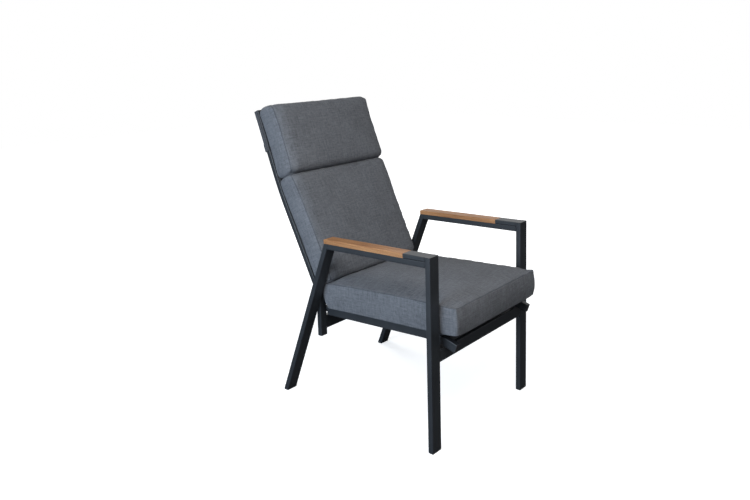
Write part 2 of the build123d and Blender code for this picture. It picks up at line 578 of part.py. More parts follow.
def add_gas_spring():
    """Lockable gas spring on the middle of the chair, with its two mounts."""
    side = Vector(1, 0, 0)

    def along(distance, up=0.0):
        return fork + spring_run * distance + spring_up * up

    head_plane = Plane(origin=along(-HEAD_FRONT), x_dir=side, z_dir=spring_run)
    head = extrude(head_plane * Rectangle(HEAD_ACROSS, HEAD_HIGH), HEAD_FRONT + HEAD_REAR)
    slot = extrude(head_plane * Rectangle(HEAD_SLOT, HEAD_HIGH + OVERRUN), HEAD_FRONT + ROD_TIP)
    head -= slot
    head -= rod(along(0), spring_run, HEAD_REAR + OVERRUN, ROD_R)
    head -= pin(fork, -half, half, TRUNNION_R)
    parts["release_head"] = head

    plate_inner = HEAD_ACROSS / 2 + FORK_GAP
    plate_outer = plate_inner + FORK_PLATE
    head_inner = HEAD_SLOT / 2 + SLIP
    trunnion = (pin(fork, head_inner, plate_outer + SLIP, TRUNNION_R)
                + pin(fork, plate_outer + SLIP, plate_outer + SLIP + TRUNNION_HEAD, TRUNNION_HEAD_R))
    parts["fork_bolts"] = pair(trunnion)

    tube_under = seat_line(FORK_Y, (CROSS_SQUARE - RAIL_HIGH) / 2 - CROSS_SQUARE / 2)
    wing = rail_run * CROSS_SQUARE / 2
    toe = Vector(0, COLLAR_R + LEVER_R / 2, 0)
    low = Vector(0, 0, -COLLAR_R - LEVER_R / 2)
    corners = [tube_under + wing, tube_under - wing, fork - toe + Vector(0, 2 * toe.Y, 0),
               lever_point + toe + low, lever_point - toe + low, lever_point - toe]
    plate = side_solid(corners, plate_inner, plate_outer)
    plate -= pin(fork, 0, half, TRUNNION_R + RUN)
    plate -= pin(lever_point, 0, half, LEVER_R + RUN)
    parts["fork_plates"] = pair(plate)

    rod_body = rod(along(ROD_TIP), spring_run, ROD_LENGTH, ROD_R)
    rod_body -= rod(along(0), spring_run, ROD_TIP + RELEASE_DEEP + RELEASE_PROUD, RELEASE_R + RUN)
    neck = ROD_R / 2
    rod_body -= (rod(along(ROD_TIP + ROD_LENGTH - PISTON), spring_run, PISTON + OVERRUN, ROD_R * 2)
                 - rod(along(ROD_TIP + ROD_LENGTH - PISTON), spring_run, PISTON + OVERRUN, neck))
    parts["gas_rod"] = rod_body
    bore = BARREL_R - BARREL_WALL
    piston = rod(along(ROD_TIP + ROD_LENGTH - PISTON), spring_run, PISTON, bore - RUN)
    parts["gas_piston"] = piston - rod(along(0), spring_run, spring_length, neck)
    parts["release_pin"] = rod(along(ROD_TIP - RELEASE_PROUD), spring_run,
                               RELEASE_PROUD + RELEASE_DEEP, RELEASE_R)

    barrel = rod(along(BARREL_START), spring_run, barrel_length, BARREL_R)
    barrel -= rod(along(0), spring_run, BARREL_START + barrel_length - BARREL_END, bore)
    parts["gas_cylinder"] = barrel
    gland = rod(along(BARREL_START), spring_run, GLAND, bore)
    gland -= rod(along(0), spring_run, spring_length, ROD_R + RUN)
    parts["gas_gland"] = gland
    eye_body = pin(eye, -EYE_ACROSS / 2, EYE_ACROSS / 2, EYE_R)
    neck_plane = Plane(origin=along(BARREL_START + barrel_length), x_dir=side, z_dir=spring_run)
    shank = extrude(neck_plane * Rectangle(EYE_NECK, EYE_NECK), EYE_SHANK)
    eye_body = eye_body + shank - pin(eye, -half, half, EYE_PIN_R + EYE_PLAY)
    parts["gas_end_eye"] = eye_body

    ear_inner = EYE_ACROSS / 2 + FORK_GAP
    ear_outer = ear_inner + FORK_PLATE
    tube_face = place(pivot_y - BACK_DEEP / 2, CROSS_BOTTOM)
    reach = Vector(0, EYE_R, 0)
    rise = Vector(0, 0, EAR_HIGH)
    ear = side_solid([tube_face, tube_face + rise, eye - reach + rise / 4, eye - reach - rise / 4],
                     ear_inner, ear_outer) - pin(eye, -half, half, EYE_PIN_R)
    parts["eye_bracket"] = pair(ear)
    bolt = (pin(eye, -ear_outer, ear_outer, EYE_PIN_R)
            + pin(eye, ear_outer, ear_outer + EYE_HEAD, EYE_HEAD_R)
            + pin(eye, -ear_outer - EYE_HEAD, -ear_outer, EYE_HEAD_R))
    parts["eye_bolt"] = bolt


def add_release_bar():
    """Bar with its finger, handle, grip and outer bearing plate."""
    corner = lever_point + Vector(lever_x, 0, 0)
    ends = [lever_point - Vector(LEVER_START, 0, 0), corner,
            corner - Vector(0, LEVER_REACH, 0)]
    path = FilletPolyline(*ends, radius=LEVER_BEND)
    section = Plane(origin=ends[0], x_dir=Vector(0, 1, 0), z_dir=Vector(1, 0, 0)) * Circle(LEVER_R)
    lever = sweep(section, path=path)
    tip = fork + spring_run * (ROD_TIP - RELEASE_PROUD - SLIP)
    high = spring_up * FINGER_DEEP / 2
    back = spring_run * FINGER_DEEP
    root = Vector(0, LEVER_R / 2, 0)
    finger = [tip + high, tip - high, lever_point + root, lever_point - root, tip - high - back,
              tip + high - back]
    lever += side_solid(finger, -FINGER_ACROSS / 2, FINGER_ACROSS / 2)
    parts["release_bar"] = lever
    start = ends[-1] + Vector(0, GRIP_LENGTH - RELEASE_PROUD, 0)
    grip = rod(start, Vector(0, -1, 0), GRIP_LENGTH, GRIP_R)
    grip = fillet(grip.edges(), GRIP_R / 4)
    parts["release_grip"] = grip - rod(start, Vector(0, -1, 0), GRIP_LENGTH - RELEASE_PROUD, LEVER_R)

    under = on_rail(FORK_Y, -RAIL_HIGH / 2)
    wing = rail_run * BEARING_DEEP / 2
    wide = Vector(0, COLLAR_R + LEVER_R / 2, 0)
    low = Vector(0, 0, -COLLAR_R - LEVER_R / 2)
    plate = side_solid([under + wing, under - wing, lever_point + wide + low,
                        lever_point - wide + low],
                       rail_middle - BEARING_THICK / 2, rail_middle + BEARING_THICK / 2)
    parts["bearing_plate"] = plate - pin(lever_point, 0, half, LEVER_R + RUN)


def swell(share, power=CROWN_POWER):
    """How full a cushion stands at a place from edge (-1 or 1) to middle (0)."""
    return sqrt(max(1 - abs(share) ** power, 0.0))


def lofted(profile):
    """Cushion body through its side outlines across the chair. Profile takes the fullness."""
    faces = []
    for turn in SECTION_TURNS:
        share = sin(radians(turn))
        shift = Pos(share * cushion_width / 2, 0, 0)
        faces.append(shift * make_face(profile(swell(share))))
    return loft(faces)


def stuffed(at, start, end, borders, rounds, crown, full):
    """Spline over a cushion from one end to the other, with its ends rounded.

    At gives a point from its place along the cushion and its height. Borders are the heights of
    the edge seam at start, middle and end, and rounds how far it drops at start and end.
    """
    points = []
    for turn in OUTLINE_TURNS:
        share = sin(radians(turn))
        side = 0 if share < 0 else 2
        border = borders[1] + (borders[side] - borders[1]) * share ** 2
        drop = rounds[side // 2] * (1 - swell(share, EDGE_POWER))
        place_on = start + (end - start) * (share + 1) / 2
        height = crown(share) * full * swell(share)
        points.append(at(place_on, border - drop + height))
    return Spline(*points)


def drawn_in(body, middle, along, out, length):
    """Pull the long sides of a cushion in between its corners."""
    wide = cushion_width / 2
    plane = Plane(origin=middle - out * wide, x_dir=Vector(1, 0, 0), z_dir=out)
    if plane.y_dir.dot(along) < 0:
        plane = Plane(origin=plane.origin, x_dir=Vector(-1, 0, 0), z_dir=out)
    reach = length / 2 + OVERRUN
    right = ThreePointArc((wide, -reach), (wide - DRAW_IN, 0), (wide, reach))
    top = Line((wide, reach), (-wide, reach))
    left = ThreePointArc((-wide, reach), (DRAW_IN - wide, 0), (-wide, -reach))
    low = Line((-wide, -reach), (wide, -reach))
    outline = make_face(Wire([right, top, left, low]))
    return body & extrude(plane * outline, 2 * wide)


def seat_profile(full):
    """Side outline of the seat cushion."""
    def at(y, high):
        return on_rail(y, RAIL_HIGH / 2 + high)

    lift = SLING + CUSHION_LIFT
    front = SEAT_FRONT_TOP + DRAW_IN * full
    rear = seat_rear - DRAW_IN * full
    low_front = at(SEAT_FRONT_LOW + DRAW_IN * full, SEAT_LIFT)
    low_rear = at(seat_rear - SEAT_REAR_TUCK, lift)
    top = stuffed(at, front, rear, (SEAT_HIGH_FRONT, SEAT_HIGH_MIDDLE, SEAT_HIGH_REAR),
                  (SEAT_FRONT_ROUND, SEAT_HIGH_REAR - SEAT_REAR_BELLY),
                  lambda share: SEAT_CROWN, full)
    lift_start = at(SEAT_LIFT_START, lift)
    bottom = Line(low_rear, lift_start)
    raised = Line(lift_start, low_front)
    middle = (low_front + top @ 0) / 2 - Vector(0, DRAW_IN, 0)
    face = ThreePointArc(low_front, middle, top @ 0)
    corner = at(rear, lift)
    belly = top @ 1
    turned = (belly + low_rear) / 2 + (corner - (belly + low_rear) / 2) * REAR_FULLNESS
    end = ThreePointArc(belly, turned, low_rear)
    return Wire([bottom, raised, face, top, end])


def back_profile(origin, run, start, end, borders, crowns, rounds):
    """Side outline of a chamber of the back cushion, as a function of its fullness."""
    out = Vector(0, -run.Z, run.Y)

    def at(s, t):
        return origin + run * s + out * (BACK_DEEP / 2 + t)

    def crown(share):
        return crowns[0] + (crowns[1] - crowns[0]) * (share + 1) / 2

    def profile(full):
        middle = (borders[0] + borders[1]) / 2
        front = stuffed(at, start, end, (borders[0], middle, borders[1]), rounds, crown, full)
        corners = at(start, -OVERRUN), at(end, -OVERRUN)
        return Wire([Line(corners[0], front @ 0), front, Line(front @ 1, corners[1]),
                     Line(corners[1], corners[0])])

    return profile


def add_cushions():
    seat = lofted(seat_profile)
    middle = on_rail((SEAT_FRONT_TOP + seat_rear) / 2)
    parts["seat_cushion"] = drawn_in(seat, middle, rail_run, rail_up, seat_rear - SEAT_FRONT_TOP)

    lower_run, upper_run = lean(LEAN_LOWER), lean(LEAN_UPPER)
    head = lofted(back_profile(back_bend, upper_run, HEAD_START, HEAD_END,
                               (HEAD_BORDER, HEAD_BORDER), (HEAD_CROWN, HEAD_CROWN),
                               (CHAMBER_ROUND, HEAD_TOP_ROUND)))
    lower = lofted(back_profile(back_bend, lower_run, LOWER_START - BACK_LOWER, LOWER_END,
                                (LOWER_BORDER, LOWER_BORDER_TOP), (LOWER_CROWN, LOWER_CROWN_TOP),
                                (LOWER_ROUND, CHAMBER_ROUND)))
    seam = []
    for s, t in ((LOWER_END - WEB_GRIP, -OVERRUN), (HEAD_START + WEB_GRIP, -OVERRUN),
                 (HEAD_START + WEB_GRIP, WEB_HIGH), (LOWER_END - WEB_GRIP, WEB_HIGH)):
        seam.append(back_bend + upper_run * s + upper_out * (BACK_DEEP / 2 + t))
    web = side_solid(seam, DRAW_IN - cushion_width / 2, cushion_width / 2 - DRAW_IN)
    lower_middle = back_bend + lower_run * (LOWER_START - BACK_LOWER) / 2
    head_middle = back_bend + upper_run * (HEAD_START + HEAD_END) / 2
    lower = drawn_in(lower, lower_middle, lower_run, Vector(0, -lower_run.Z, lower_run.Y),
                     BACK_LOWER)
    head = drawn_in(head, head_middle, upper_run, upper_out, HEAD_END - HEAD_START)
    below = back_bend - lower_run * BACK_LOWER
    above = back_end + upper_run * 2 * OVERRUN
    reach = cushion_width
    room = bent_strip([below, back_bend, above], [(BEND_BACK, -1)], -2 * OVERRUN,
                      BACK_DEEP / 2 + SLING + CUSHION_LIFT, -reach, reach)
    parts["back_cushion"] = (lower + head + web) - room


def add_hood():
    """Pocket of cloth on the back cushion that is pulled over the top of the back frame."""
    run = lean(LEAN_UPPER)
    inner = back_outer + HOOD_SLACK
    outer = inner + HOOD_CLOTH
    rear = BACK_DEEP / 2 + HOOD_SLACK
    front = BACK_DEEP / 2 + SLING
    top = BACK_UPPER + CAP_THICK + HOOD_SLACK
    low = top + HOOD_CLOTH - HOOD_LENGTH

    def block(x, s_from, s_to, t_from, t_to):
        plane = Plane(origin=back_bend + run * s_from + upper_out * (t_from + t_to) / 2,
                      x_dir=Vector(1, 0, 0), z_dir=run)
        return extrude(plane * Rectangle(2 * x, t_to - t_from), s_to - s_from)

    rear_out = rear + HOOD_CLOTH
    hood = block(outer, low, top + HOOD_CLOTH, -rear_out, front)
    hem = block(outer + HEM_PROUD, low, low + HEM_HIGH, -rear_out - HEM_PROUD, front)
    hood = hood + fillet(hem.edges().filter_by(Plane.YZ, reverse=False), HEM_PROUD / 2)
    hood += block(outer, low, top - OVERRUN, front, front + HOOD_LAP)
    hood -= block(inner, low - OVERRUN, top, -rear, front + SLING)
    hood -= block(cushion_width / 2 + CUSHION_LIFT, low - OVERRUN, top + OVERRUN, front,
                  front + HOOD_LAP + OVERRUN)
    parts["cushion_hood"] = hood


def build():
    add_side_frames()
    add_base()
    add_back_frame()
    add_seat_hinge()
    add_seat_frame()
    add_gas_spring()
    add_release_bar()
    add_cushions()
    add_hood()


build()
os.makedirs("parts", exist_ok=True)
for name, shape in parts.items():
    export_step(shape, "parts/%s.step" % name)
box = Compound(children=[copy.copy(shape) for shape in parts.values()]).bounding_box()
print("box", box.min, box.max)
for name, point in (("axle", axle_point), ("hinge", hinge_point), ("fork", fork), ("eye", eye),
                    ("lever", lever_point)):
    print(name, [round(value / 1000, 6) for value in point])
print("spring direction", [round(value, 6) for value in spring_run])
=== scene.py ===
"""Looks of the reclining garden armchair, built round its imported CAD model.

Everything is in metres in the model's own frame: +X is the sitter's left, +Y rearward, +Z up.
On the seat, y runs rearward from the front faces of the front legs, and heights are measured from
the tops of the seat rails. On the back, s runs up either straight run of the back rails from the
bend between them, and t forward from the rails' front faces.
"""

import json
import math
from functools import partial
from itertools import accumulate

import bpy
import numpy as np
from mathutils import Matrix, Vector, noise


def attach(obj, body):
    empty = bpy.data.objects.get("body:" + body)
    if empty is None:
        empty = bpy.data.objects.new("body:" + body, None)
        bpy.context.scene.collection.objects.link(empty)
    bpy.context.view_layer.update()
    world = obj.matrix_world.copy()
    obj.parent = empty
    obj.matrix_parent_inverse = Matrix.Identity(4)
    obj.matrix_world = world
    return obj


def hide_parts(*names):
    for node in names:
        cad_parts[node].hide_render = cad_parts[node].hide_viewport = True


# Camera, as fitted to the photograph
IMAGE_WIDE, IMAGE_HIGH = 750, 500
CAMERA_PLACE = (-1.9058, -1.6932, 1.2861)
CAMERA_YAW, CAMERA_PITCH, CAMERA_ROLL = -50.2, 8.5, -1.2        # degrees
FOCAL_PIXELS = 697.8
PRINCIPAL_POINT = (411.4, 152.8)
SENSOR = 36.0                           # mm

# Lamps: name, place, aim, size, power and colour
LAMPS = (
    ("window", (-3.4, 0.2, 1.1), (0, 0, 0.6), 2.0, 122, (0.72, 0.85, 1.0)),
    ("ceiling", (-0.9, -1.0, 2.05), (0, 0, 0.6), 1.2, 26, (1, 0.98, 0.95)),
    ("fill", (-0.5, -2.8, 1.5), (0, 0, 0.8), 1.2, 10, (1, 1, 1)),
    ("behind", (0.9, 3.0, 1.7), (0, 0, 0.5), 1.8, 42, (1, 1, 1)),
)

# Surroundings
WHITE = (1, 1, 1, 1)
SKY_COLOR, SKY_STRENGTH = (0.90, 0.95, 1.0, 1), 0.25
BACKDROP_WAY = (0.77, 0.64, 0.0)        # toward the white screen behind the chair
BACKDROP_EDGE = {"From Min": -0.1, "From Max": 0.6, "To Min": 0.12, "To Max": 1.0}
FLOOR_HALF = 9
FLOOR_PAPER, FLOOR_DULL = (0.80, 0.80, 0.80, 1), (0.10, 0.10, 0.105, 1)
FLOOR_GLOW = {"From Min": 0.9, "From Max": 2.2, "To Min": 0.62, "To Max": 1.0}

# Colours and yarn
CUSHION_COLOR = (0.112, 0.118, 0.131)
# Painted shade: the hood is the back cushion's own cloth, painted darker for the shade it sits in
# behind the back.
HOOD_SHADED_COLOR = (0.052, 0.055, 0.062)
SLING_COLOR = (0.035, 0.037, 0.040)
COAT_COLOR = (0.018, 0.021, 0.025)
FINE_THREAD, SLING_THREAD = 0.0011, 0.0022
YARN_MOTTLE, YARN_CLOUD, YARN_WEAVE = 0.55, 0.25, 0.06
YARN_RANGE = 0.28                       # how far from its middle the yarn's tone is full
# Painted shade along the seams: the cloth's colour is darkened by this there, standing for the
# shade in their grooves.
SEAM_SHADE_TINT = (0.50, 0.51, 0.53, 1)

# Frame of the chair, as in the CAD source
FRONT_Y = -0.411                        # front faces of the front legs
PIVOT_Y, HINGE_Z, STUB_TOP = 0.152251, 0.336, 0.4016
RAIL_SLOPE = math.radians(3.48)
RAIL_HIGH = 0.030
RAIL_OUTER = 0.226
RAIL_BEND_START, RAIL_BEND_R = 0.090, 0.340
BACK_OUTER, BACK_DEEP = 0.243, 0.020
BACK_LOWER, BACK_UPPER = 0.407, 0.318   # lengths of the back rails' two runs
LEAN_LOWER, LEAN_UPPER = math.radians(27.6), math.radians(21.3)
BEND_BACK = 1.5
CAP_THICK = 0.002
FRONT_TUBE, FRONT_TUBE_UNDER, CROSS_SQUARE = 0.010, 0.002, 0.020

# Both cushions
HALF_WIDTH = 0.240
CUSHION_LIFT = 0.0019                   # the sling and the clearance over it
DRAW_IN = 0.005                         # how far an edge's middle lies inside its corners
CROWN_FADE = 8                          # power at which a crown fades down the border

# Seat cushion
SEAT_FRONT_TOP, SEAT_FRONT_LOW, SEAT_REAR = -0.060, -0.058, 0.537
SEAT_LEAD = 0.006                       # how far its front is pushed on over those
SEAT_HIGH_FRONT, SEAT_HIGH_MIDDLE, SEAT_HIGH_REAR = 0.0945, 0.100, 0.096
SEAT_LIFT_START, SEAT_LIFT = 0.120, 0.003
SEAT_BELLY = 0.056                      # height at which its rear reaches furthest back
SEAT_TUCK_TOP, SEAT_TUCK_LOW = 0.012, 0.018
SEAT_CROWN, SEAT_EDGE = 0.013, 0.090    # height, and how far in it is full
SEAT_FRONT_DRAW_IN = 0.002
SEAT_SIDE_BULGE = 0.002
SEAT_CORNER = 0.010
LOW_CORNER_RAISE, LOW_CORNER_POWER = 0.005, 8
TOP_CORNER_RAISE, TOP_CORNER_POWER = 0.003, 10

# Back cushion: a head chamber over a lower chamber. Pairs go up from a chamber's bottom.
HEAD_ENDS = (0.046, 0.322)
HEAD_BORDER, HEAD_CROWNS, HEAD_ROUNDS = 0.087, (0.013, 0.013), (0.015, 0.030)
LOWER_ENDS = (0.022 - BACK_LOWER, 0.039)
LOWER_BORDER, LOWER_CROWNS, LOWER_ROUNDS = 0.084, (0.007, 0.012), (0.012, 0.015)
END_POWER = 12                          # how late a chamber's face rounds off to its ends
BACK_EDGE_ACROSS, BACK_EDGE_ALONG = 0.040, 0.020
BACK_SIDE_BULGE, BACK_END_BULGE = 0.005, 0.003
BACK_CORNER = 0.022
BACK_SPREAD, BACK_SHIFT = 0.013, 0.011  # wider and to the left above the arms
HEAD_SPREADS, LOWER_SPREADS = (1, 1), (0, 1)

# Cloth of the cushions
CELL = 0.010                            # mesh size over a panel
SEAM_CELLS = (0.0, 0.0032, 0.008)       # rows of the mesh beside a seam
AT_END = 0.9999                         # a place from -1 to 1 past this is at its end
SEAM_SINK = 0.0019
RIPPLE_HIGH, RIPPLE_SCALE, RIPPLE_REACH = 0.0030, 46, 0.018
WAVE_HIGH, WAVE_REACH = 0.0016, 0.03
WAVES = ((9, 0.6), (21, 0.4))           # scale and share
SIM_FRAMES, SIM_PRESSURE, SIM_CAP = 20, 4.0, 0.022
SEAT_SWOLLEN, BACK_SWOLLEN = 0.55, 0.25     # share of the simulated swelling that is kept

# Slings and hood
CLEAR = 0.0004
ROUND_MIDDLE = 0.3                      # how far in a round's middle lies, over its radius
SLING = 0.0015
SLING_EDGE = 0.006
SLING_CELLS = 40
SAG = 0.004
BACK_SLING_ENDS = (0.030 - BACK_LOWER, BACK_UPPER - 0.015)
SEAT_SLING_ENDS, SEAT_SLING_ROWS = (0.002, 0.515), 30
HEM_REACH, HEM_DROP, HEM_ROUND, HEM_CELLS = 0.199, 0.004, 0.004, 30
HOOD_CLOTH = 0.0016
HOOD_LENGTH, HOOD_LAP, HOOD_ROUND = 0.162, 0.0015, 0.003
HOOD_LIP = ((0.003, 0.0), (0.001, 0.006), (0.0, 0.012))     # inward and back from its front edge
HOOD_SIDE = (0.006, 0.001, -0.004)      # places down its sides, from the rails' middle
HOOD_LID_LAP, HOOD_LID = 0.001, (0.0, -0.005)
HOOD_HEM_HIGH, HOOD_HEM_OUT = 0.028, 0.0014
HOOD_SINK, HOOD_WRINKLE, HOOD_WRINKLE_SCALE = 0.003, 0.0012, 14
HOOD_SINK_START, HOOD_SINK_FULL = 0.034, 0.03
HOOD_CELLS, HOOD_ROWS = 44, 18

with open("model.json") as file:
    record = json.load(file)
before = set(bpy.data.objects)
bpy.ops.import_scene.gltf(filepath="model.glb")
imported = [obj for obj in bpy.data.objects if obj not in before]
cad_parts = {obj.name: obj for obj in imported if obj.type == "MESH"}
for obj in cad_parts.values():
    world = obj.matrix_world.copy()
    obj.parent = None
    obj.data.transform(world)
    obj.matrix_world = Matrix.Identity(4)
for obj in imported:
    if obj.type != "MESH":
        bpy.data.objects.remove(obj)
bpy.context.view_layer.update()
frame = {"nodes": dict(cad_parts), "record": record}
scene = bpy.context.scene


# Places on the chair

def side(y, z):
    """Vector in the chair's side plane."""
    return Vector((0.0, y, z))


def lean(angle):
    """Unit vector that leans rearward from upright."""
    return side(math.sin(angle), math.cos(angle))


def facing(angle):
    """Unit vector square to that, which points forward."""
    return side(-math.cos(angle), math.sin(angle))


hinge = side(PIVOT_Y, HINGE_Z)
rail_run, rail_up = facing(RAIL_SLOPE), lean(RAIL_SLOPE)
back_bend = side(PIVOT_Y, STUB_TOP) + lean(LEAN_LOWER) * BACK_LOWER
bend_reach = BEND_BACK * math.tan((LEAN_LOWER - LEAN_UPPER) / 2)


def seat_point(x, y, high):
    """Point over the straight part of the seat rails."""
    along = (PIVOT_Y - FRONT_Y - y) / math.cos(RAIL_SLOPE)
    return hinge + rail_run * along + rail_up * (RAIL_HIGH / 2 + high) + Vector((x, 0, 0))


def rail_line(y, high):
    """Point over the rails and the way up from them, round the bend at their front too."""
    into = max(RAIL_BEND_START - y, 0)
    if not into:
        return seat_point(0, y, high), rail_up
    centre = seat_point(0, RAIL_BEND_START, 0) - rail_up * (RAIL_HIGH / 2 + RAIL_BEND_R)
    up = lean(RAIL_SLOPE - into / RAIL_BEND_R)
    return centre + up * (RAIL_BEND_R + RAIL_HIGH / 2 + high), up


def back_point(angle, x, s, t):
    """Point before the front faces of the back rails, along the run that leans at an angle."""
    middle = back_bend + lean(angle) * s
    return middle + facing(angle) * (BACK_DEEP / 2 + t) + Vector((x, 0, 0))


def between(ends, share):
    return ends[0] + (ends[1] - ends[0]) * share


def evenly(half, cells):
    """Places from -half to half."""
    return [half * (2 * number / cells - 1) for number in range(cells + 1)]


# Meshes

def mesh_object(name, points, faces, uvs=None):
    """Smooth mesh object. Uvs holds one pair for each corner of each face."""
    data = bpy.data.meshes.new(name)
    data.from_pydata([tuple(point) for point in points], [], faces)
    data.polygons.foreach_set("use_smooth", [True] * len(data.polygons))
    if uvs is not None:
        layer = data.uv_layers.new(name="cloth")
        layer.data.foreach_set("uv", np.asarray(uvs, dtype=float).ravel())
    data.validate()
    data.update()
    made = bpy.data.objects.new(name, data)
    scene.collection.objects.link(made)
    return made


def coords(data):
    flat = np.empty(len(data.vertices) * 3)
    data.vertices.foreach_get("co", flat)
    return flat.reshape(-1, 3)


def set_coords(data, points):
    data.vertices.foreach_set("co", np.asarray(points, dtype=float).ravel())
    data.update()


def apply_modifiers(piece):
    """Put the mesh that an object's modifiers make in place of its own."""
    graph = bpy.context.evaluated_depsgraph_get()
    data = bpy.data.meshes.new_from_object(piece.evaluated_get(graph))
    piece.modifiers.clear()
    piece.data = data


def subdivide(piece):
    modifier = piece.modifiers.new("smooth", "SUBSURF")
    modifier.levels = modifier.render_levels = 1
    modifier.uv_smooth = "PRESERVE_BOUNDARIES"
    apply_modifiers(piece)


def joined(name, pieces):
    """One object from several."""
    for other in bpy.context.selected_objects:
        other.select_set(False)
    for piece in pieces:
        piece.select_set(True)
    bpy.context.view_layer.objects.active = pieces[0]
    bpy.ops.object.join()
    pieces[0].name = name
    return pieces[0]


def grid_faces(rows, columns, flip=False, first=0):
    """Faces of a grid whose points are numbered along each row in turn."""
    faces = []
    for row in range(rows - 1):
        for column in range(columns - 1):
            corner = first + row * columns + column
            loop = [corner, corner + columns, corner + columns + 1, corner + 1]
            faces.append([loop[0], *loop[:0:-1]] if flip else loop)
    return faces


def sheet_object(name, points, places, faces, thick):
    """Sheet of even thickness, from its middle surface and its points' places on flat cloth."""
    piece = mesh_object(name, points, faces, [places[n] for face in faces for n in face])
    solid = piece.modifiers.new("thickness", "SOLIDIFY")
    solid.thickness, solid.offset = thick, 0.0
    apply_modifiers(piece)
    return piece


# Skins of the cushions

def grid_places(length):
    """Places from -1 to 1 over a length: close together beside both seams, even between them."""
    start = [row / length for row in SEAM_CELLS]
    inner = 1 - 2 * start[-1]
    count = max(int(round(inner * length / CELL)), 2)
    middle = [start[-1] + inner * number / count for number in range(1, count)]
    shares = start + middle + [1 - share for share in reversed(start)]
    return [2 * share - 1 for share in shares]


def boxed(name, sizes, shape, place):
    """Closed skin of a cushion: a top, a bottom and a border of four strips.

    Shape turns (a, b, c), each from -1 to 1 over the box's surface, into places across and along
    the cushion and a height, and place turns those into a point. Returns the object, the numbers
    of its seams' vertices and every vertex's (a, b, c).
    """
    grids = [grid_places(length) for length in sizes]
    tops = [len(grid) - 1 for grid in grids]
    numbers, triples, shaped = {}, [], []
    faces, uvs = [], []

    def vertex(key):
        if key not in numbers:
            numbers[key] = len(shaped)
            triple = [grids[axis][key[axis]] for axis in range(3)]
            triples.append(triple)
            shaped.append(shape(*triple))
        return numbers[key]

    def panel(axis, u, v, end):
        """Faces and cloth places of the box's side at one end of an axis."""
        turned = (end == 0) != (axis == 1)
        for i in range(tops[u]):
            for j in range(tops[v]):
                loop = []
                for step_u, step_v in ((0, 0), (1, 0), (1, 1), (0, 1)):
                    key = [0, 0, 0]
                    key[axis], key[u], key[v] = end, i + step_u, j + step_v
                    loop.append(vertex(tuple(key)))
                loop = loop[::-1] if turned else loop
                faces.append(loop)
                uvs.extend((shaped[n][u], shaped[n][v]) for n in loop)

    for axis, (u, v) in ((0, (1, 2)), (1, (0, 2)), (2, (0, 1))):
        for end in (0, tops[axis]):
            panel(axis, u, v, end)
    made = mesh_object(name, [place(*point) for point in shaped], faces, uvs)
    triples = np.array(triples)
    on_edge = (np.abs(triples[:, 0]) > AT_END) | (np.abs(triples[:, 1]) > AT_END)
    seams = [np.flatnonzero(on_edge & (triples[:, 2] * way > AT_END)) for way in (-1, 1)]
    return made, seams, triples


def crowned(share, half, edge):
    """How full a panel stands, rising at a steady angle from its seam."""
    into = min((1 - abs(share)) * half / edge, 1.0)
    return 1 - (1 - into) ** 2


def rounded_corner(x, s, half_x, low_s, high_s, radius):
    """Move a point of a rectangle's corner square into a quarter circle."""
    middle = (low_s + high_s) / 2
    half_s = (high_s - low_s) / 2
    m = abs(x) - (half_x - radius)
    n = abs(s - middle) - (half_s - radius)
    if m <= 0 or n <= 0:
        return x, s
    reach = max(m, n)
    turn = math.pi / 4 * (n / m if m >= n else 2 - m / n)
    x = math.copysign(half_x - radius + reach * math.cos(turn), x)
    s = middle + math.copysign(half_s - radius + reach * math.sin(turn), s - middle)
    return x, s


def seat_shape(a, b, c):
    """Shape of the seat cushion: its front is b = -1 and its top c = 1."""
    level, share = (c + 1) / 2, (b + 1) / 2
    front = between((SEAT_FRONT_LOW, SEAT_FRONT_TOP), level) - SEAT_LEAD
    front += SEAT_FRONT_DRAW_IN * (1 - a * a) - DRAW_IN * (1 - c * c)
    over_belly = SEAT_HIGH_REAR * level - SEAT_BELLY
    if over_belly < 0:
        tuck = SEAT_TUCK_LOW * (over_belly / SEAT_BELLY) ** 2
    else:
        tuck = SEAT_TUCK_TOP * (over_belly / (SEAT_HIGH_REAR - SEAT_BELLY)) ** 2
    rear = SEAT_REAR - tuck - DRAW_IN * (1 - a * a)
    y = between((front, rear), share)

    rise = max(SEAT_LIFT_START - y, 0) / (SEAT_LIFT_START - SEAT_FRONT_LOW)
    bottom = between((CUSHION_LIFT, SEAT_LIFT), rise ** 2)
    bottom += LOW_CORNER_RAISE * (abs(a) * max(-b, 0)) ** LOW_CORNER_POWER
    border = between((SEAT_HIGH_MIDDLE, SEAT_HIGH_FRONT if b < 0 else SEAT_HIGH_REAR), b * b)
    border += TOP_CORNER_RAISE * (abs(a) * max(-b, 0)) ** TOP_CORNER_POWER
    crown = crowned(a, HALF_WIDTH, SEAT_EDGE) * crowned(b, (rear - front) / 2, SEAT_EDGE)
    high = between((bottom, border), level) + SEAT_CROWN * crown * max(c, 0) ** CROWN_FADE

    half = HALF_WIDTH - DRAW_IN * (1 - b * b) + SEAT_SIDE_BULGE * (1 - c * c)
    x, y = rounded_corner(a * half, y, half, front, rear, SEAT_CORNER)
    return x, y, high


